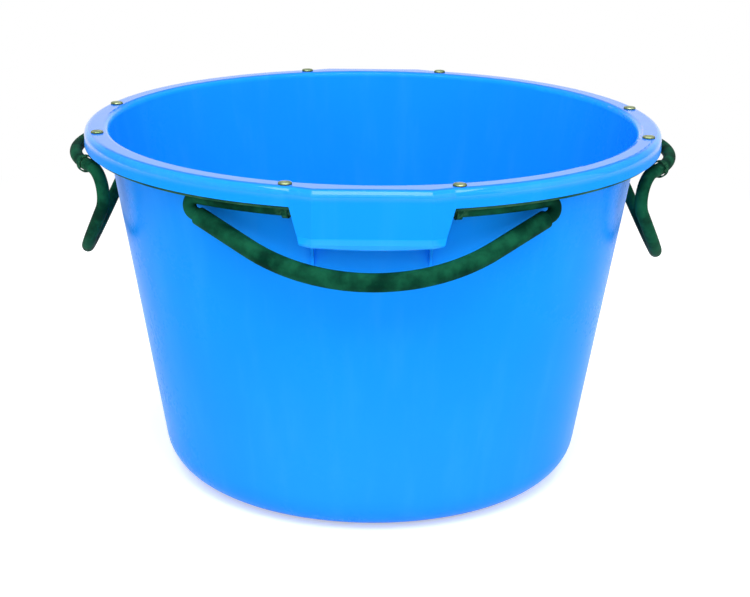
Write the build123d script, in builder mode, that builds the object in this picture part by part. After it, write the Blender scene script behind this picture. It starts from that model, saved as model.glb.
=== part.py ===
"""Round tub of moulded plastic with a steel hoop and four hanging loop handles.

Millimetres, +Z up. The tub stands on the XY plane, centred on the Z axis.
The front lip faces -Y. Heights inside the rim are measured down from its top.
"""

import os
from math import asin, cos, degrees, hypot, radians, sin, sqrt, tan

from build123d import *

os.makedirs("parts", exist_ok=True)

# Tub shell
HEIGHT = 405.0
RIM_RADIUS = 325.0
RIM_WIDTH = 27.0
MOUTH_RADIUS = RIM_RADIUS - RIM_WIDTH
BASE_INSET = 90.0
BASE_RADIUS = RIM_RADIUS - BASE_INSET
WALL = 4.0
FLOOR = 5.0
BASE_CORNER = 46.0
RIM_EDGE = 8.0
MOUTH_EDGE = 7.5
SKIRT_DEPTH = 19.5

# Moulded grip lips at the front and the back
LIP_FLAT_HALF = 59.0
LIP_TOP_HALF = 81.5
LIP_BOTTOM_HALF = 71.0
LIP_DEPTH = 57.0
LIP_BEAD = 2.5
LIP_BEAD_HEIGHT = 11.5
LIP_BEAD_FACE = 5.5
LIP_BEAD_EDGE = 1.5
LIP_SAG = 3.0
CAP_WIDTH = 16.0
RIB_THICKNESS = 3.0
RIB_TOP_DEPTH = 38.0
RIB_TAIL = 34.0

# Steel hoop under the rim
HOOP_DIAMETER = 5.0
HOOP_DEPTH = 21.5
HOOP_GAP = 0.1

# Loop handles of bent rod
ROD_DIAMETER = 14.0

# Handles at the front and back: the top bar runs inside the rim, the limb has a thick grip
FRONT_BAR_INSET = 17.6
FRONT_BAR_RADIUS = RIM_RADIUS - FRONT_BAR_INSET
FRONT_BAR_CENTRE = 0.0
FRONT_BAR_ANGLE = 33.0
FRONT_BAR_DEPTH = 26.5
FRONT_CORNER_HALF = 218.3
FRONT_CORNER_BEND = 8.5
FRONT_LIMB_ANGLE = 39.8
FRONT_OVERHANG = 6.0
FRONT_REACH = RIM_RADIUS + FRONT_OVERHANG
FRONT_DROP = 90.8
FRONT_EYE_GAP = 2.715
FRONT_EYE_ANGLE = degrees(asin((LIP_TOP_HALF + FRONT_EYE_GAP) / FRONT_BAR_RADIUS))
GRIP_DIAMETER = 19.0
GRIP_START = 55.0
GRIP_EDGE = 2.0

# Handles at the left and right: the top bar bows out below the rim
SIDE_BAR_RADIUS = 177.7
SIDE_BAR_INSET = 166.1
SIDE_BAR_CENTRE = RIM_RADIUS - SIDE_BAR_INSET
SIDE_BAR_ANGLE = 31.5
SIDE_BAR_DEPTH = 33.0
SIDE_CORNER_HALF = 151.8
SIDE_CORNER_BEND = 25.5
SIDE_LIMB_ANGLE = 53.7
SIDE_OVERHANG = 0.9
SIDE_REACH = RIM_RADIUS + SIDE_OVERHANG
SIDE_DROP = 146.1
SIDE_EYE_ANGLE = 28.8

# Strap clips, rivets and washers
FRONT_EYE_CLEARANCE = 0.7
SIDE_EYE_CLEARANCE = 1.0
STRAP = 1.5
EYE_WIDTH = 6.0
TAB_WIDTH = 15.0
TAB_END = 7.0
RIVET_INSET = 13.0
RIVET_RADIUS_ON_RIM = RIM_RADIUS - RIVET_INSET
RIVET_SHANK = 5.0
RIVET_HEAD = 14.0
RIVET_HEAD_HEIGHT = 2.2
RIVET_HEAD_EDGE = 1.3
RIVET_TAIL = 8.0
RIVET_TAIL_HEIGHT = 2.0
WASHER_DIAMETER = 10.0
WASHER_THICKNESS = 1.2
NECK_GAP = 0.7
HOLE_CLEARANCE = 0.1

# Tolerance for picking edges by their position
MATCH = 0.1

# Values that follow from the sizes above
flange_under = HEIGHT - WALL
skirt_inner = RIM_RADIUS - WALL
outer_top = MOUTH_RADIUS + WALL
wall_slope = (outer_top - BASE_RADIUS) / HEIGHT
floor_edge = BASE_RADIUS - WALL + wall_slope * FLOOR
rod_radius = ROD_DIAMETER / 2
hoop_ring = skirt_inner - HOOP_GAP - HOOP_DIAMETER / 2
lip_low = HEIGHT - LIP_DEPTH
bead_low = lip_low - LIP_SAG
FRONT, RIGHT, BACK, LEFT = 0, 90, 180, 270


def wall_radius(depth):
    """Outer radius of the tapered wall at a depth below the rim's top."""
    return outer_top - wall_slope * depth


def on_side(across, out, height, turn):
    """Point given across and out from the axis, on the side turned from the front."""
    angle = radians(turn - 90)
    along_x, along_y = cos(angle), sin(angle)
    return Vector(out * along_x - across * along_y, out * along_y + across * along_x, height)


def export(builder, name):
    builder.part.label = name
    export_step(builder.part, f"parts/{name}.step")


def bar_point(radius, centre, angle):
    """Point of a top bar in plan, across and out, at an angle along its arc."""
    return radius * sin(radians(angle)), centre + radius * cos(radians(angle))


# Each kind of handle: its top bar, its hanging arc and the eyes that carry it
front_kind = {
    "radius": FRONT_BAR_RADIUS, "centre": FRONT_BAR_CENTRE, "angle": FRONT_BAR_ANGLE,
    "depth": FRONT_BAR_DEPTH, "reach": FRONT_REACH, "drop": FRONT_DROP, "eye": FRONT_EYE_ANGLE,
    "half": FRONT_CORNER_HALF, "bend": FRONT_CORNER_BEND, "limb": FRONT_LIMB_ANGLE,
    "bore": rod_radius + FRONT_EYE_CLEARANCE,
}
side_kind = {
    "radius": SIDE_BAR_RADIUS, "centre": SIDE_BAR_CENTRE, "angle": SIDE_BAR_ANGLE,
    "depth": SIDE_BAR_DEPTH, "reach": SIDE_REACH, "drop": SIDE_DROP, "eye": SIDE_EYE_ANGLE,
    "half": SIDE_CORNER_HALF, "bend": SIDE_CORNER_BEND, "limb": SIDE_LIMB_ANGLE,
    "bore": rod_radius + SIDE_EYE_CLEARANCE,
}
handles = {
    "front": (front_kind, FRONT),
    "right": (side_kind, RIGHT),
    "back": (front_kind, BACK),
    "left": (side_kind, LEFT),
}


def eye_place(kind, hand):
    """Eye centre in plan, the bar's heading there, and the rivet's offset along its normal."""
    heading = hand * kind["eye"]
    across, out = bar_point(kind["radius"], kind["centre"], heading)
    slant = radians(heading)
    lean = across * sin(slant) + out * cos(slant)
    offset = -lean + sqrt(lean**2 - (hypot(across, out) ** 2 - RIVET_RADIUS_ON_RIM**2))
    return across, out, heading, offset


def rivet_place(kind, hand):
    """Rivet position in plan, across and out."""
    across, out, heading, offset = eye_place(kind, hand)
    slant = radians(heading)
    return across + offset * sin(slant), out + offset * cos(slant)


rivet_spots = {
    f"{side}_{name}": on_side(*rivet_place(kind, hand), HEIGHT, turn)
    for side, (kind, turn) in handles.items()
    for name, hand in (("a", -1), ("b", 1))
}

# Grip lip of the front: a flat apron under the rim, its rim cap and two ribs
lip_edge = sqrt(RIM_RADIUS**2 - LIP_TOP_HALF**2)


def lip_outline(inset):
    """Plan of the lip's face, across and towards -Y, moved in by an inset."""
    return [
        (-LIP_TOP_HALF, inset - lip_edge), (-LIP_FLAT_HALF, inset - RIM_RADIUS),
        (LIP_FLAT_HALF, inset - RIM_RADIUS), (LIP_TOP_HALF, inset - lip_edge),
    ]


with BuildPart() as lip:
    with BuildSketch(Plane.XY.offset(bead_low)):
        Polygon(*lip_outline(0), *reversed(lip_outline(WALL)), align=None)
    extrude(amount=HEIGHT - bead_low)
    with BuildSketch(Plane.XY.offset(bead_low)):
        Polygon(*lip_outline(-LIP_BEAD), *reversed(lip_outline(WALL)), align=None)
    extrude(amount=LIP_BEAD_FACE)
    for bead_height, bead_out in ((LIP_BEAD_FACE, LIP_BEAD), (LIP_BEAD_HEIGHT, 0)):
        with BuildSketch(Plane.XY.offset(bead_low + bead_height)):
            Polygon(*lip_outline(-bead_out), *reversed(lip_outline(WALL)), align=None)
    loft(ruled=True)
    with BuildSketch(Plane.XZ.offset(-RIM_RADIUS)):
        with BuildLine():
            ThreePointArc((-LIP_BOTTOM_HALF, lip_low), (0, lip_low - LIP_SAG), (LIP_BOTTOM_HALF, lip_low))
            Polyline(
                (LIP_BOTTOM_HALF, lip_low), (LIP_TOP_HALF, HEIGHT - SKIRT_DEPTH), (LIP_TOP_HALF, HEIGHT),
                (-LIP_TOP_HALF, HEIGHT), (-LIP_TOP_HALF, HEIGHT - SKIRT_DEPTH), (-LIP_BOTTOM_HALF, lip_low),
            )
        make_face()
    extrude(amount=2 * RIM_RADIUS + LIP_BEAD, mode=Mode.INTERSECT)
    bead_edges = (
        lip.edges()
        .filter_by_position(Axis.Z, bead_low - MATCH, lip_low + MATCH)
        .filter_by_position(Axis.Y, -2 * RIM_RADIUS, MATCH - lip_edge - LIP_BEAD)
        .filter_by(lambda edge: edge.length > LIP_BEAD_HEIGHT)
    )
    fillet(bead_edges, LIP_BEAD_EDGE)
    with BuildSketch(Plane.XY.offset(flange_under)):
        Polygon(*lip_outline(0), *reversed(lip_outline(CAP_WIDTH)), align=None)
    extrude(amount=WALL)
    rim_edges = (
        lip.edges()
        .filter_by_position(Axis.Z, HEIGHT - MATCH, HEIGHT + MATCH)
        .filter_by(lambda edge: abs(edge.center().Y) > (lip_edge + RIM_RADIUS) / 2 - MATCH)
        .filter_by(lambda edge: edge.length > CAP_WIDTH)
    )
    fillet(rim_edges, RIM_EDGE)

with BuildPart() as lip_ribs:
    for rib_across in (-LIP_FLAT_HALF, LIP_FLAT_HALF):
        rib_foot = RIB_TAIL + LIP_DEPTH
        top_out = sqrt(wall_radius(RIB_TOP_DEPTH) ** 2 - LIP_FLAT_HALF**2) - WALL / 2
        foot_out = sqrt(wall_radius(rib_foot) ** 2 - LIP_FLAT_HALF**2) - WALL / 2
        with BuildSketch(Plane.YZ.offset(rib_across)):
            with BuildLine():
                Polyline(
                    (-top_out, HEIGHT - RIB_TOP_DEPTH), (WALL / 2 - RIM_RADIUS, HEIGHT - RIB_TOP_DEPTH),
                    (WALL / 2 - RIM_RADIUS, lip_low + LIP_BEAD), (-foot_out, HEIGHT - rib_foot), close=True,
                )
            make_face()
        extrude(amount=RIB_THICKNESS / 2, both=True)

# Tub: wall, floor, rolled rim, two grip lips with ribs, rivet holes
with BuildPart() as tub:
    with BuildSketch(Plane.XZ) as profile:
        with BuildLine():
            Polyline(
                (0, 0), (BASE_RADIUS, 0), (wall_radius(WALL), flange_under),
                (skirt_inner, flange_under), (skirt_inner, HEIGHT - SKIRT_DEPTH),
                (RIM_RADIUS, HEIGHT - SKIRT_DEPTH), (RIM_RADIUS, HEIGHT), (MOUTH_RADIUS, HEIGHT),
                (floor_edge, FLOOR), (0, FLOOR), close=True,
            )
        make_face()
        for corner, bend in (
            ((floor_edge, FLOOR), BASE_CORNER - WALL), ((BASE_RADIUS, 0), BASE_CORNER),
            ((RIM_RADIUS, HEIGHT), RIM_EDGE), ((MOUTH_RADIUS, HEIGHT), MOUTH_EDGE),
        ):
            fillet(profile.vertices().sort_by_distance(corner)[0], bend)
    revolve(axis=Axis.Z)
    with BuildSketch(Plane.XY.offset(HEIGHT - SKIRT_DEPTH)):
        with PolarLocations(0, 2):
            Polygon(*lip_outline(WALL), *reversed(lip_outline(CAP_WIDTH)), align=None)
    extrude(amount=SKIRT_DEPTH - WALL, mode=Mode.SUBTRACT)
    for lip_turn in (FRONT, BACK):
        add(lip.part.rotate(Axis.Z, lip_turn))
        add(lip_ribs.part.rotate(Axis.Z, lip_turn))
    for spot in rivet_spots.values():
        with Locations((spot.X, spot.Y, HEIGHT)):
            Hole(RIVET_SHANK / 2 + HOLE_CLEARANCE, depth=WALL + RIVET_SHANK)
export(tub, "tub_body")

# Hoop of round steel sprung into the rim, just under the skirt's inner edge
with BuildPart() as hoop:
    with BuildSketch(Plane.XZ):
        with Locations((hoop_ring, HEIGHT - HOOP_DEPTH)):
            Circle(HOOP_DIAMETER / 2)
    revolve(axis=Axis.Z)
export(hoop, "rim_hoop")


def loop_corners(kind, turn):
    """Corners of a handle's loop and the bend at each: top bar, right, bottom, left."""
    bar_apex = kind["centre"] + kind["radius"] / cos(radians(kind["angle"]))
    corner_out = bar_apex - kind["half"] * tan(radians(kind["angle"]))
    bar_height = HEIGHT - kind["depth"]
    out_run = kind["reach"] - corner_out
    down_run = kind["drop"] - kind["depth"]
    sagitta = hypot(out_run, down_run)
    rise = kind["half"] * tan(radians(kind["limb"]))
    low_bend = (rise - sagitta) / (1 / cos(radians(kind["limb"])) - 1)
    share = rise / sagitta
    points = [
        on_side(0, bar_apex, bar_height, turn),
        on_side(kind["half"], corner_out, bar_height, turn),
        on_side(0, corner_out + share * out_run, bar_height - share * down_run, turn),
        on_side(-kind["half"], corner_out, bar_height, turn),
    ]
    return points, (kind["radius"], kind["bend"], low_bend, kind["bend"])


for side, (kind, turn) in handles.items():
    points, bends = loop_corners(kind, turn)
    with BuildPart() as handle:
        with BuildLine() as route:
            FilletPolyline(*points, radius=bends, close=True)
        with BuildSketch(Plane(origin=route.line @ 0, z_dir=route.line % 0)):
            Circle(rod_radius)
        sweep()
        if kind is front_kind:
            bottom = points[2]
            ends = [corner + (bottom - corner).normalized() * GRIP_START for corner in (points[1], points[3])]
            with BuildLine() as limb:
                FilletPolyline(ends[0], bottom, ends[1], radius=bends[2])
            with BuildSketch(Plane(origin=limb.line @ 0, z_dir=limb.line % 0)):
                Circle(GRIP_DIAMETER / 2)
            sweep()
            rings = handle.edges().filter_by(GeomType.CIRCLE).filter_by(
                lambda edge: abs(edge.radius - GRIP_DIAMETER / 2) < MATCH
            )
            end_rings = [
                ring for ring in rings if min((ring.arc_center - end).length for end in ends) < MATCH
            ]
            fillet(end_rings, GRIP_EDGE)
    export(handle, f"{side}_handle")

    for name, hand in (("a", -1), ("b", 1)):
        across, out, heading, offset = eye_place(kind, hand)
        eye_height = HEIGHT - kind["depth"]
        centre = on_side(across, out, eye_height, turn)
        ahead = on_side(sin(radians(heading)), cos(radians(heading)), 0, turn)
        section = Plane(origin=centre, x_dir=ahead, z_dir=ahead.cross(Vector(0, 0, 1)))
        top = flange_under - eye_height
        neck = offset - WASHER_DIAMETER / 2 - NECK_GAP - STRAP
        eye_outer = kind["bore"] + STRAP
        neck_low = 0 if abs(neck) < eye_outer else -STRAP
        with BuildPart() as clip:
            with BuildSketch(section):
                Circle(eye_outer)
                with Locations((neck, (top + neck_low) / 2)):
                    Rectangle(2 * STRAP, top - neck_low)
                with Locations((neck / 2, 0)):
                    Rectangle(abs(neck), 2 * STRAP)
                Circle(kind["bore"], mode=Mode.SUBTRACT)
            extrude(amount=EYE_WIDTH / 2, both=True)
            with BuildSketch(section):
                with Locations(((neck - STRAP + offset + TAB_END) / 2, top - STRAP / 2)):
                    Rectangle(offset + TAB_END - neck + STRAP, STRAP)
            extrude(amount=TAB_WIDTH / 2, both=True)
            spot = rivet_spots[f"{side}_{name}"]
            with Locations((spot.X, spot.Y, flange_under)):
                Hole(RIVET_SHANK / 2 + HOLE_CLEARANCE, depth=2 * STRAP)
        export(clip, f"{side}_clip_{name}")

        washer_top = flange_under - STRAP
        with BuildPart() as washer:
            with BuildSketch(Plane.XY.offset(washer_top)):
                with Locations((spot.X, spot.Y)):
                    Circle(WASHER_DIAMETER / 2)
                    Circle(RIVET_SHANK / 2 + HOLE_CLEARANCE, mode=Mode.SUBTRACT)
            extrude(amount=-WASHER_THICKNESS)
        export(washer, f"{side}_washer_{name}")

        tail_top = washer_top - WASHER_THICKNESS
        with BuildPart() as rivet:
            with BuildSketch(Plane.XY.offset(HEIGHT)):
                with Locations((spot.X, spot.Y)):
                    Circle(RIVET_HEAD / 2)
            extrude(amount=RIVET_HEAD_HEIGHT)
            fillet(rivet.edges().group_by(Axis.Z)[-1], RIVET_HEAD_EDGE)
            with BuildSketch(Plane.XY.offset(HEIGHT)):
                with Locations((spot.X, spot.Y)):
                    Circle(RIVET_SHANK / 2)
            extrude(amount=tail_top - HEIGHT)
            with BuildSketch(Plane.XY.offset(tail_top)):
                with Locations((spot.X, spot.Y)):
                    Circle(RIVET_TAIL / 2)
            extrude(amount=-RIVET_TAIL_HEIGHT)
        export(rivet, f"{side}_rivet_{name}")
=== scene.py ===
"""Round tub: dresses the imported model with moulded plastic, green coating and rivet metal."""

from math import cos, radians, sin

import bpy
from bpy.props import FloatProperty, FloatVectorProperty, PointerProperty
from mathutils import Euler, Matrix, Vector


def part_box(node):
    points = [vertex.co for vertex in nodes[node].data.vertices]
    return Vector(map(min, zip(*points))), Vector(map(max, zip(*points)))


bl_info = {
    "name": "Round Tub",
    "version": (1, 0, 0),
    "blender": (4, 5, 0),
    "location": "View3D > Sidebar > Round Tub",
    "description": "Finishes, stage and camera for a round plastic tub with loop handles",
    "category": "Object",
}

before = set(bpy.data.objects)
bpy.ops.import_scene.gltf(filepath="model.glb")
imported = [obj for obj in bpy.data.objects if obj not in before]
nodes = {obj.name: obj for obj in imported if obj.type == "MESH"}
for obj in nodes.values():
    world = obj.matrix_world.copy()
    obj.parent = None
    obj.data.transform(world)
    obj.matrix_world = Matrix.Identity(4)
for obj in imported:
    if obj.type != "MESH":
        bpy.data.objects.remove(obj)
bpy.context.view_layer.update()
tub_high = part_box("tub_body")[1]
rim_top = tub_high.z
rim_radius = tub_high.x
SIDES = ("front", "right", "back", "left")
ENDS = ("a", "b")
WHITE = (1.0, 1.0, 1.0, 1.0)

# The finishes work in metres. A noise is given by its scale, detail and roughness, a tone by the values of
# a noise at which it starts and is full, and a share says how much an effect changes a colour or a roughness.
NOISE_MEAN = 0.5

# Plastic: what is the same all over
PLASTIC_IOR = 1.49
POLISH_IOR = 1.5
POLISH_ROUGHNESS = 0.06

# Plastic: noises
CLOUD = (5.0, 3.0, 0.5)
FLOW = (1.0, 3.0, 0.6)
FLOW_STRETCH = (38.0, 38.0, 2.2)
SKIN = (520.0, 2.0, 0.5)
RIPPLE = (22.0, 1.0, 0.5)
GRIT = (150.0, 6.0, 0.7)
SCRATCH = (1.0, 4.0, 0.7)
SCRATCH_STRETCH = (9.0, 9.0, 240.0)

# Plastic: bands, by depth below the rim's top, by height above the floor or by way in from the rim's edge
RIM_FLAT_DEPTHS = (0.0012, 0.0002)
RIM_SKIN_DEPTHS = (0.013, 0.006)
RIM_CORNER_DEPTHS = (0.010, 0.001)
RIM_CORNER_INSETS = (0.009, 0.003)
MOUTH_BLEND = 0.002
BEAD_INSETS = (0.0025, -0.0005)
BEAD_BLEND = 0.002
FOOT_HEIGHTS = (0.001, 0.020)
FLOOR_SHEEN_HEIGHTS = (0.04, 0.28)
SCUFF_HEIGHTS = (0.16, 0.32)

# Plastic: tones
CLOUD_TONES = (0.3, 0.7)
FLOW_TONES = (0.45, 0.8)
WORN_TONES = (0.54, 0.70)
SCRATCH_TONES = (0.67, 0.75)
SCUFF_TONES = (0.52, 0.68)

# Plastic: shares in the polish, the wear, the colour and the roughness, and depths of the relief
BEAD_POLISH = 0.35
RIM_CORNER_WEAR = 0.35
FOOT_WEAR = 0.8
# The rim's flat top is painted a deeper blue as shade, to offset the overhead light it catches
RIM_FLAT_SHADE = 0.9
FLOW_PALE = 0.06
# Paler low on the wall as a painted floor reflection, and paler on the beads as a painted highlight
FLOOR_SHEEN_PALE = 0.075
BEAD_HIGHLIGHT_PALE = 0.05
WORN_PALE = 0.30
SCUFF_PALE = 0.10
CLOUD_ROUGH = 0.08
WORN_ROUGH = 0.20
SCUFF_ROUGH = 0.14
GRIT_ROUGH = 0.03
RIPPLE_RELIEF = 0.00012
SKIN_RELIEF = 0.000012
WEAR_RELIEF = 0.00003

# Green coating
COATING_IOR = 1.5
MOTTLE = (30.0, 4.0, 0.6)
PEEL = (420.0, 2.0, 0.5)
FLAKE = (210.0, 6.0, 0.72)
EYE_REACH = (0.006, 0.016)
MOTTLE_TONES = (0.32, 0.70)
RUBBED_TONES = (0.42, 0.60)
CHIP_TONES = (0.69, 0.73)
CHIP_PATCH_TONES = (0.50, 0.62)
RUBBED_SHARE = 0.55
CHIP_SHARE = 0.7
MOTTLE_ROUGH = 0.16
RUBBED_ROUGH = 0.18
CHIP_ROUGH = 0.2
PEEL_RELIEF = 0.00005
CHIP_RELIEF = 0.00008

# Rivet metal
TINT = (180.0, 4.0, 0.6)
PITS = (900.0, 3.0, 0.6)
SEAT_HEIGHTS = (0.0004, 0.0017)
TINT_TONES = (0.35, 0.65)
# Share of painted shade at the rivets' seats
SEAT_SHADE = 0.85
HEAD_ROUGHNESS = 0.34
TINT_ROUGH = 0.16
SEAT_ROUGH = 0.3
PIT_RELIEF = 0.00004

# Edges sharper than these angles, in degrees, stay sharp
SHARP_ANGLE = 35.0
ROD_SHARP_ANGLE = 60.0

# Stage: floor, backdrop, sensor, and each soft light's name, power, place, width and height
FLOOR_SIZE = 30.0
FLOOR_DROP = 0.0004
FADE_START = 0.5
BACKDROP_SPREAD = (0.6, 0.95)
BACKDROP_BLEND = 0.12
SENSOR_WIDTH = 36.0
SOFT_LIGHTS = (
    ("overhead_light", "key_power", (0.0, -1.2, 2.5), 2.6, 2.2),
    ("left_light", "left_power", (-2.6, -0.9, 1.3), 2.6, 2.6),
    ("right_light", "right_power", (2.6, -0.9, 1.3), 2.6, 2.6),
    ("front_light", "front_power", (0.0, -3.0, 1.9), 3.0, 1.6),
)


class Wire:
    """A shader socket that works like a number: each operator adds a Math node."""

    def __init__(self, tree, socket=None):
        self.tree = tree
        self.socket = socket

    def node(self, kind, settings=None, sockets=None, out=0):
        """Add a node: its settings first, then the values and links of its sockets."""
        made = self.tree.nodes.new(kind)
        for name, value in (settings or {}).items():
            setattr(made, name, value)
        for name, value in (sockets or {}).items():
            if isinstance(value, Wire):
                self.tree.links.new(value.socket, made.inputs[name])
            else:
                made.inputs[name].default_value = value
        return Wire(self.tree, made.outputs[out])

    def maths(self, operation, first, second=0.0):
        return self.node("ShaderNodeMath", {"operation": operation}, {0: first, 1: second})

    def __add__(self, other):
        return self.maths("ADD", self, other)

    def __radd__(self, other):
        return self.maths("ADD", other, self)

    def __sub__(self, other):
        return self.maths("SUBTRACT", self, other)

    def __rsub__(self, other):
        return self.maths("SUBTRACT", other, self)

    def __mul__(self, other):
        return self.maths("MULTIPLY", self, other)

    def __rmul__(self, other):
        return self.maths("MULTIPLY", other, self)

    def __pow__(self, other):
        return self.maths("POWER", self, other)

    def __abs__(self):
        return self.maths("ABSOLUTE", self)

    def ease(self, start, end):
        """Smooth step from 0 at start to 1 at end."""
        return self.node(
            "ShaderNodeMapRange", {"interpolation_type": "SMOOTHSTEP"},
            {"Value": self, "From Min": start, "From Max": end},
        )

    def noise(self, point, scale, detail, roughness):
        return self.node(
            "ShaderNodeTexNoise", {},
            {"Vector": point, "Scale": scale, "Detail": detail, "Roughness": roughness},
        )

    def blend(self, factor, first, second):
        """Mix two colours, through the colour sockets of a Mix node."""
        return self.node("ShaderNodeMix", {"data_type": "RGBA"}, {0: factor, 6: first, 7: second}, out=2)

    def stretch(self, point, scale):
        """Scale a position along each axis."""
        return self.node("ShaderNodeVectorMath", {"operation": "MULTIPLY"}, {0: point, 1: scale})

    def length(self, point):
        return self.node("ShaderNodeVectorMath", {"operation": "LENGTH"}, {0: point}, out="Value")

    def bump(self, height, depth, normal=None):
        sockets = {"Height": height, "Strength": 1.0, "Distance": depth}
        if normal:
            sockets["Normal"] = normal
        return self.node("ShaderNodeBump", {}, sockets)


def new_finish(name, uniform):
    """A material with its uniform values set, its surface shader and a wire to build on."""
    finish = bpy.data.materials.new(name)
    finish.use_nodes = True
    surface = finish.node_tree.nodes["Principled BSDF"]
    for socket, value in uniform.items():
        surface.inputs[socket].default_value = value
    return finish, surface, Wire(finish.node_tree)


def feed(finish, surface, **wires):
    """Link what varies over the surface to the shader."""
    for name, wire in wires.items():
        finish.node_tree.links.new(wire.socket, surface.inputs[name.replace("_", " ")])


def where(wire):
    """The position on the model in metres, whole and as x, y and z."""
    point = wire.node("ShaderNodeTexCoord", out="Object")
    split = wire.node("ShaderNodeSeparateXYZ", {}, {0: point}).socket.node
    return point, *(Wire(wire.tree, socket) for socket in split.outputs)


def below_top(z, depths):
    """Smooth step between two depths below the rim's top."""
    return z.ease(*(rim_top - depth for depth in depths))


def inside_edge(way_out, insets):
    """Smooth step between two ways in from the rim's edge."""
    return way_out.ease(*(rim_radius - inset for inset in insets))


def rgba(colour):
    return (*colour, 1.0)


def moulded_plastic(look):
    """Glossy blue plastic: a moulding skin, faint flow marks, a polished rim and a rubbed foot, with painted
    shade on the rim's flat top, a painted floor reflection low on the wall and a painted highlight on the
    lips' beads.
    """
    finish, surface, wire = new_finish("tub_moulded_plastic", {
        "IOR": PLASTIC_IOR, "Specular IOR Level": look.tub_gloss,
        "Coat Roughness": POLISH_ROUGHNESS, "Coat IOR": POLISH_IOR,
    })
    point, x, y, z = where(wire)
    radius = (x * x + y * y) ** 0.5
    cloud = wire.noise(point, *CLOUD)
    flow = wire.noise(wire.stretch(point, FLOW_STRETCH), *FLOW)
    skin = wire.noise(point, *SKIN)
    ripple = wire.noise(point, *RIPPLE)
    grit = wire.noise(point, *GRIT)
    scratch = wire.noise(wire.stretch(point, SCRATCH_STRETCH), *SCRATCH)

    rim_flat = below_top(z, RIM_FLAT_DEPTHS)
    outside_mouth = radius.ease(look.mouth_edge, look.mouth_edge + MOUTH_BLEND)
    rim_skin = below_top(z, RIM_SKIN_DEPTHS) * outside_mouth
    under_bead_top = 1 - z.ease(look.bead_top - BEAD_BLEND, look.bead_top)
    # The beads' outer faces: they get the real polish and, below, a painted highlight
    bead_out = inside_edge(abs(y), BEAD_INSETS) * under_bead_top
    polished = wire.maths("MAXIMUM", rim_skin, bead_out * BEAD_POLISH)
    rim_corner = below_top(z, RIM_CORNER_DEPTHS) * inside_edge(radius, RIM_CORNER_INSETS)
    foot_band = 1 - z.ease(*FOOT_HEIGHTS)
    # Paler towards the bottom of the wall: a painted reflection of the white floor
    floor_sheen = 1 - z.ease(*FLOOR_SHEEN_HEIGHTS)
    worn = (rim_corner * RIM_CORNER_WEAR + foot_band * FOOT_WEAR) * grit.ease(*WORN_TONES)
    low_wall = 1 - z.ease(*SCUFF_HEIGHTS)
    scuffed = scratch.ease(*SCRATCH_TONES) * cloud.ease(*SCUFF_TONES) * low_wall

    # Paler flow marks are real; the paler bottom is painted floor reflection and the paler bead a painted
    # highlight
    pale = flow.ease(*FLOW_TONES) * FLOW_PALE + floor_sheen * FLOOR_SHEEN_PALE + bead_out * BEAD_HIGHLIGHT_PALE
    body = wire.blend(cloud.ease(*CLOUD_TONES), rgba(look.tub_colour), rgba(look.tub_shade))
    # Painted shade: the rim's flat top turns a deeper blue
    body = wire.blend(rim_flat * RIM_FLAT_SHADE, body, rgba(look.rim_top_shade_blue))
    body = wire.blend(pale, body, rgba(look.tub_pale))
    body = wire.blend(worn * WORN_PALE + scuffed * SCUFF_PALE, body, rgba(look.tub_pale))
    rough = look.tub_roughness + (cloud - NOISE_MEAN) * CLOUD_ROUGH + (grit - NOISE_MEAN) * GRIT_ROUGH
    rough = rough + worn * WORN_ROUGH + scuffed * SCUFF_ROUGH + rim_flat * look.rim_satin
    normal = wire.bump(ripple, RIPPLE_RELIEF)
    normal = wire.bump(skin, SKIN_RELIEF, normal)
    normal = wire.bump(worn + scuffed, WEAR_RELIEF, normal)
    polish = polished * look.rim_polish
    feed(finish, surface, Base_Color=body, Roughness=rough, Coat_Weight=polish, Normal=normal)
    return finish


def coated_rod(look, name, deep, bright):
    """Green coating with a soft orange-peel skin, rubbed where the rod turns in its eyes."""
    finish, surface, wire = new_finish(name, {"IOR": COATING_IOR, "Specular IOR Level": look.green_gloss})
    point, x, y, z = where(wire)
    mottle = wire.noise(point, *MOTTLE)
    peel = wire.noise(point, *PEEL)
    flake = wire.noise(point, *FLAKE)

    def way_to(eye):
        offset = {0: abs(x) - eye[0], 1: abs(y) - eye[1], 2: z - eye[2]}
        return wire.length(wire.node("ShaderNodeCombineXYZ", {}, offset))

    nearest = wire.maths("MINIMUM", way_to(look.front_eye), way_to(look.side_eye))
    rubbed = (1 - nearest.ease(*EYE_REACH)) * flake.ease(*RUBBED_TONES)
    chipped = flake.ease(*CHIP_TONES) * mottle.ease(*CHIP_PATCH_TONES)

    coat = wire.blend(mottle.ease(*MOTTLE_TONES), rgba(deep), rgba(bright))
    coat = wire.blend(rubbed * RUBBED_SHARE, coat, rgba(look.green_rubbed))
    coat = wire.blend(chipped * CHIP_SHARE, coat, rgba(look.green_chip))
    rough = look.green_roughness + (mottle - NOISE_MEAN) * MOTTLE_ROUGH
    rough = rough + rubbed * RUBBED_ROUGH + chipped * CHIP_ROUGH
    normal = wire.bump(peel, PEEL_RELIEF)
    normal = wire.bump(1 - chipped, CHIP_RELIEF, normal)
    feed(finish, surface, Base_Color=coat, Roughness=rough, Normal=normal)
    return finish


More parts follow.
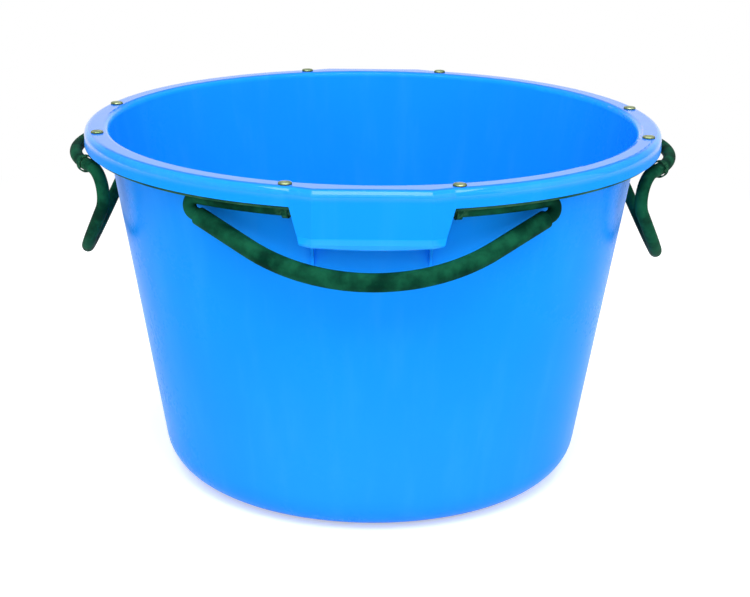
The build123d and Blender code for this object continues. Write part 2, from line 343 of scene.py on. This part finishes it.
def rivet_metal(look):
    """Yellow-green passivated rivet heads, darker at the seat as painted shade where a head meets the rim,
    and rougher there.
    """
    finish, surface, wire = new_finish("rivet_passivated", {"Metallic": 1.0})
    point, _, _, z = where(wire)
    tint = wire.noise(point, *TINT)
    pits = wire.noise(point, *PITS)
    seat = 1 - z.ease(*(rim_top + height for height in SEAT_HEIGHTS))
    tone = wire.blend(tint.ease(*TINT_TONES), rgba(look.rivet_pale), rgba(look.rivet_green))
    # Painted shade darkens the seat where the head meets the rim
    tone = wire.blend(seat * SEAT_SHADE, tone, rgba(look.rivet_seat_shade))
    rough = HEAD_ROUGHNESS + tint * TINT_ROUGH + seat * SEAT_ROUGH
    feed(finish, surface, Base_Color=tone, Roughness=rough, Normal=wire.bump(pits, PIT_RELIEF))
    return finish


def dress(names, finish, sharp_angle=SHARP_ANGLE):
    """Give CAD nodes a finish and smooth shading."""
    for name in names:
        piece = nodes[name]
        piece.data.materials.clear()
        piece.data.materials.append(finish)
        piece.data.shade_smooth()
        piece.data.set_sharp_from_angle(angle=radians(sharp_angle))


class TubLook(bpy.types.PropertyGroup):
    """Colours and gloss of the tub's pieces."""

    def colour(name, default):
        return FloatVectorProperty(
            name=name, description=f"{name}, linear", subtype="COLOR", size=3,
            min=0.0, max=1.0, default=default,
        )

    tub_colour: colour("Tub blue", (0.0062, 0.290, 1.0))
    tub_shade: colour("Tub blue, deeper", (0.0054, 0.275, 0.98))
    # A paler blue for flow marks, wear and scuffs, and for the painted floor reflection and bead highlight
    tub_pale: colour("Tub blue, paler, for wear and painted sheen", (0.110, 0.540, 1.0))
    # Painted shade for the rim's flat top, deeper than the plastic's own blue
    rim_top_shade_blue: colour("Rim top, deeper blue", (0.0040, 0.180, 0.88))
    green_deep: colour("Coating, deep green", (0.0010, 0.024, 0.014))
    green_bright: colour("Coating, bright green", (0.0070, 0.094, 0.046))
    # The hoop's coating is the rods' green painted lighter: a painted highlight on the thin lit sliver below
    # the skirt
    hoop_deep: colour("Hoop coating, deep", (0.006, 0.060, 0.034))
    hoop_bright: colour("Hoop coating, bright", (0.045, 0.140, 0.064))
    green_rubbed: colour("Coating, rubbed", (0.060, 0.200, 0.100))
    green_chip: colour("Coating, chipped", (0.11, 0.12, 0.10))
    rivet_pale: colour("Rivet head", (0.62, 0.70, 0.40))
    rivet_green: colour("Rivet head, green tint", (0.26, 0.40, 0.16))
    # Painted shade at the seat of a rivet head
    rivet_seat_shade: colour("Rivet seat", (0.035, 0.085, 0.030))
    tub_gloss: FloatProperty(
        name="Tub gloss", description="Strength of the plastic's reflection", subtype="FACTOR",
        min=0.0, max=1.0, default=0.02,
    )
    tub_roughness: FloatProperty(
        name="Tub roughness", description="Roughness of the moulded skin", subtype="FACTOR",
        min=0.0, max=1.0, default=0.28,
    )
    rim_polish: FloatProperty(
        name="Rim polish", description="Strength of the polish on the rim and the lips' beads",
        subtype="FACTOR", min=0.0, max=1.0, default=1.0,
    )
    rim_satin: FloatProperty(
        name="Rim satin", description="Roughness added on the rim's flat top", subtype="FACTOR",
        min=0.0, max=1.0, default=0.06,
    )
    mouth_edge: FloatProperty(
        name="Mouth edge", description="Radius of the mouth", unit="LENGTH", default=0.298,
    )
    bead_top: FloatProperty(
        name="Bead top", description="Height of the top of the bead under the lips", unit="LENGTH",
        default=0.3565,
    )
    green_gloss: FloatProperty(
        name="Coating gloss", description="Strength of the green coating's reflection", subtype="FACTOR",
        min=0.0, max=1.0, default=0.012,
    )
    green_roughness: FloatProperty(
        name="Coating roughness", description="Roughness of the green coating", subtype="FACTOR",
        min=0.0, max=1.0, default=0.58,
    )
    front_eye: FloatVectorProperty(
        name="Front eye", description="Place of a front clip's eye, across, out and up",
        subtype="TRANSLATION", unit="LENGTH", size=3, default=(0.0842, 0.2956, 0.3785),
    )
    side_eye: FloatVectorProperty(
        name="Side eye", description="Place of a side clip's eye, out, across and up",
        subtype="TRANSLATION", unit="LENGTH", size=3, default=(0.3146, 0.0856, 0.3720),
    )


class TubStage(bpy.types.PropertyGroup):
    """Floor, light and camera around the tub."""

    camera_distance: FloatProperty(
        name="Camera distance", description="From the tub's axis, level", unit="LENGTH", min=0.5,
        default=2.0075,
    )
    camera_height: FloatProperty(
        name="Camera height", description="Above the rim's top", unit="LENGTH", default=0.4293,
    )
    camera_turn: FloatProperty(
        name="Camera turn", description="Round the tub from straight in front", unit="ROTATION",
        default=radians(0.0),
    )
    camera_tilt: FloatProperty(
        name="Camera tilt", description="Down from level", unit="ROTATION", default=radians(17.735),
    )
    camera_roll: FloatProperty(
        name="Camera roll", description="About the line of sight, lowering the right side",
        unit="ROTATION", default=radians(0.556),
    )
    camera_lens: FloatProperty(
        name="Lens", description="Focal length", unit="CAMERA", min=10.0, default=86.3,
    )
    camera_shift: FloatProperty(
        name="Shift", description="Sideways shift of the picture, as a share of its width", default=0.0049,
    )
    floor_colour: FloatVectorProperty(
        name="Floor", description="Colour of the floor, linear", subtype="COLOR", size=3,
        min=0.0, max=1.0, default=(0.93, 0.93, 0.93),
    )
    floor_fade: FloatProperty(
        name="Floor fade", description="Distance from the tub at which the floor is plain white",
        unit="LENGTH", min=0.1, default=1.5,
    )
    floor_glow: FloatProperty(
        name="Floor glow", description="White added to the near floor", min=0.0, default=0.45,
    )
    world_level: FloatProperty(
        name="Surround", description="Level of the white surround", min=0.0, default=0.60,
    )
    backdrop_top: FloatProperty(
        name="Backdrop top", description="Sine of the angle above level at which the white backdrop ends",
        min=0.0, max=1.0, default=0.30,
    )
    studio_level: FloatProperty(
        name="Studio", description="Level that a gloss mirrors above and in front of the backdrop",
        min=0.0, default=0.25,
    )
    key_power: FloatProperty(
        name="Key", description="Power of the overhead soft light", unit="POWER", min=0.0, default=72.0,
    )
    left_power: FloatProperty(
        name="Left", description="Power of the soft light at the left", unit="POWER", min=0.0, default=4.0,
    )
    right_power: FloatProperty(
        name="Right", description="Power of the soft light at the right", unit="POWER", min=0.0, default=12.0,
    )
    front_power: FloatProperty(
        name="Front", description="Power of the soft light in front", unit="POWER", min=0.0, default=10.0,
    )


def soft_light(name, power, place, width, height):
    """A rectangular soft light aimed at the tub's middle."""
    lamp = bpy.data.lights.new(name, "AREA")
    lamp.shape = "RECTANGLE"
    lamp.energy = power
    lamp.size = width
    lamp.size_y = height
    holder = bpy.data.objects.new(name, lamp)
    holder.location = place
    aim = Vector((0, 0, rim_top / 2)) - Vector(place)
    holder.rotation_euler = aim.to_track_quat("-Z", "Y").to_euler()
    bpy.context.scene.collection.objects.link(holder)


def ray_kinds(wire):
    """One for the rays seen straight or through a clear surface, and one for those seen in a gloss."""
    ray = wire.node("ShaderNodeLightPath").socket.node
    camera, gloss, clear = (
        Wire(wire.tree, ray.outputs[f"Is {kind} Ray"]) for kind in ("Camera", "Glossy", "Transmission")
    )
    return wire.maths("MAXIMUM", camera, clear), gloss


def floor_paint(stage):
    """A matt floor that keeps the tub's shadow and goes over to plain white away from it."""
    paint = bpy.data.materials.new("floor_white")
    paint.use_nodes = True
    tree = paint.node_tree
    tree.nodes.remove(tree.nodes["Principled BSDF"])
    wire = Wire(tree)
    seen = wire.maths("MAXIMUM", *ray_kinds(wire))
    _, x, y, _ = where(wire)
    far = ((x * x + y * y) ** 0.5).ease(stage.floor_fade * FADE_START, stage.floor_fade)
    matt = wire.node("ShaderNodeBsdfDiffuse", {}, {"Color": rgba(stage.floor_colour)})
    glow = wire.node("ShaderNodeEmission", {}, {"Color": WHITE, "Strength": stage.floor_glow})
    white = wire.node("ShaderNodeEmission", {}, {"Color": WHITE, "Strength": 1.0})
    lit = wire.node("ShaderNodeAddShader", {}, {0: matt, 1: glow})
    near = wire.node("ShaderNodeMixShader", {}, {0: seen, 1: matt, 2: lit})
    both = wire.node("ShaderNodeMixShader", {}, {0: far * seen, 1: near, 2: white})
    tree.links.new(both.socket, tree.nodes["Material Output"].inputs["Surface"])
    return paint


def white_surround(stage):
    """A white surround. A gloss mirrors a white backdrop behind the tub and a dimmer studio elsewhere."""
    world = bpy.data.worlds.new("white_surround")
    world.use_nodes = True
    sky = world.node_tree
    wire = Wire(sky)
    straight, gloss = ray_kinds(wire)
    direction = wire.node("ShaderNodeTexCoord", out="Generated")
    split = wire.node("ShaderNodeSeparateXYZ", {}, {0: direction}).socket.node
    away, up = (Wire(sky, split.outputs[axis]) for axis in ("Y", "Z"))
    over_top = up.ease(stage.backdrop_top, stage.backdrop_top + BACKDROP_BLEND)
    backdrop = away.ease(*BACKDROP_SPREAD) * (1 - over_top)
    mirrored = stage.studio_level + backdrop * (1.0 - stage.studio_level)
    level = stage.world_level + straight * (1.0 - stage.world_level) + gloss * (mirrored - stage.world_level)
    sky.links.new(level.socket, sky.nodes["Background"].inputs["Strength"])
    sky.nodes["Background"].inputs["Color"].default_value = WHITE
    return world


def photo_camera(stage):
    """The camera, level in front of the tub and then tilted down and rolled a little."""
    lens = bpy.data.cameras.new("photo_camera")
    lens.lens = stage.camera_lens
    lens.sensor_width = SENSOR_WIDTH
    lens.shift_x = stage.camera_shift
    camera = bpy.data.objects.new("photo_camera", lens)
    turn = stage.camera_turn
    out = stage.camera_distance
    camera.location = (out * sin(turn), -out * cos(turn), rim_top + stage.camera_height)
    tilted = Euler((radians(90.0) - stage.camera_tilt, 0.0, turn)).to_matrix()
    camera.rotation_euler = (tilted @ Matrix.Rotation(stage.camera_roll, 3, "Z")).to_euler()
    return camera


class TubOperator:
    """What the operators share."""

    bl_options = {"REGISTER", "UNDO"}


class ROUNDTUB_OT_tub(TubOperator, bpy.types.Operator):
    """Give the moulded tub its glossy blue plastic"""

    bl_idname = "roundtub.tub"
    bl_label = "Tub Body"

    def execute(self, context):
        dress(["tub_body"], moulded_plastic(context.scene.tub_look))
        return {"FINISHED"}


class ROUNDTUB_OT_rods(TubOperator, bpy.types.Operator):
    """Give the loop handles, the rim hoop and the strap clips their green coating"""

    bl_idname = "roundtub.rods"
    bl_label = "Handles, Hoop and Clips"

    def execute(self, context):
        look = context.scene.tub_look
        coating = coated_rod(look, "rod_green_coating", look.green_deep, look.green_bright)
        # A lighter copy of the green coating for the hoop, as painted highlight
        hoop_coating = coated_rod(look, "hoop_green_coating", look.hoop_deep, look.hoop_bright)
        dress([f"{side}_handle" for side in SIDES], coating, ROD_SHARP_ANGLE)
        dress(["rim_hoop"], hoop_coating, ROD_SHARP_ANGLE)
        dress([f"{side}_clip_{end}" for side in SIDES for end in ENDS], coating)
        return {"FINISHED"}


class ROUNDTUB_OT_rivets(TubOperator, bpy.types.Operator):
    """Give the rivets and their washers their passivated metal"""

    bl_idname = "roundtub.rivets"
    bl_label = "Rivets and Washers"

    def execute(self, context):
        names = [f"{side}_{kind}_{end}" for side in SIDES for kind in ("rivet", "washer") for end in ENDS]
        dress(names, rivet_metal(context.scene.tub_look))
        return {"FINISHED"}


class ROUNDTUB_OT_stage(TubOperator, bpy.types.Operator):
    """Lay the floor, set the soft lights and the surround, and place the camera"""

    bl_idname = "roundtub.stage"
    bl_label = "Floor, Lights and Camera"

    def execute(self, context):
        scene = context.scene
        stage = scene.tub_stage
        scene.view_settings.view_transform = "Standard"

        bpy.ops.mesh.primitive_plane_add(size=FLOOR_SIZE, location=(0, 0, -FLOOR_DROP))
        floor = context.object
        floor.name = "pale_floor"
        floor.data.materials.append(floor_paint(stage))

        scene.world = white_surround(stage)
        for name, power, *shape in SOFT_LIGHTS:
            soft_light(name, getattr(stage, power), *shape)

        camera = photo_camera(stage)
        scene.collection.objects.link(camera)
        scene.camera = camera
        return {"FINISHED"}


class ROUNDTUB_PT_panel(bpy.types.Panel):
    """Lists the operators, the look and the stage in the sidebar"""

    bl_label = "Round Tub"
    bl_idname = "ROUNDTUB_PT_panel"
    bl_space_type = "VIEW_3D"
    bl_region_type = "UI"
    bl_category = "Round Tub"

    def draw(self, context):
        layout = self.layout
        for operator in OPERATORS:
            layout.operator(operator.bl_idname)
        for group in (context.scene.tub_look, context.scene.tub_stage):
            box = layout.box()
            for name in group.__annotations__:
                box.prop(group, name)


OPERATORS = (
    ROUNDTUB_OT_tub, ROUNDTUB_OT_rods, ROUNDTUB_OT_rivets, ROUNDTUB_OT_stage,
)
CLASSES = (TubLook, TubStage, *OPERATORS, ROUNDTUB_PT_panel)


def register():
    for item in CLASSES:
        bpy.utils.register_class(item)
    bpy.types.Scene.tub_look = PointerProperty(type=TubLook)
    bpy.types.Scene.tub_stage = PointerProperty(type=TubStage)


def unregister():
    del bpy.types.Scene.tub_stage
    del bpy.types.Scene.tub_look
    for item in reversed(CLASSES):
        bpy.utils.unregister_class(item)


def main():
    register()
    bpy.ops.roundtub.tub()
    bpy.ops.roundtub.rods()
    bpy.ops.roundtub.rivets()
    bpy.ops.roundtub.stage()


if __name__ == "__main__":
    main()
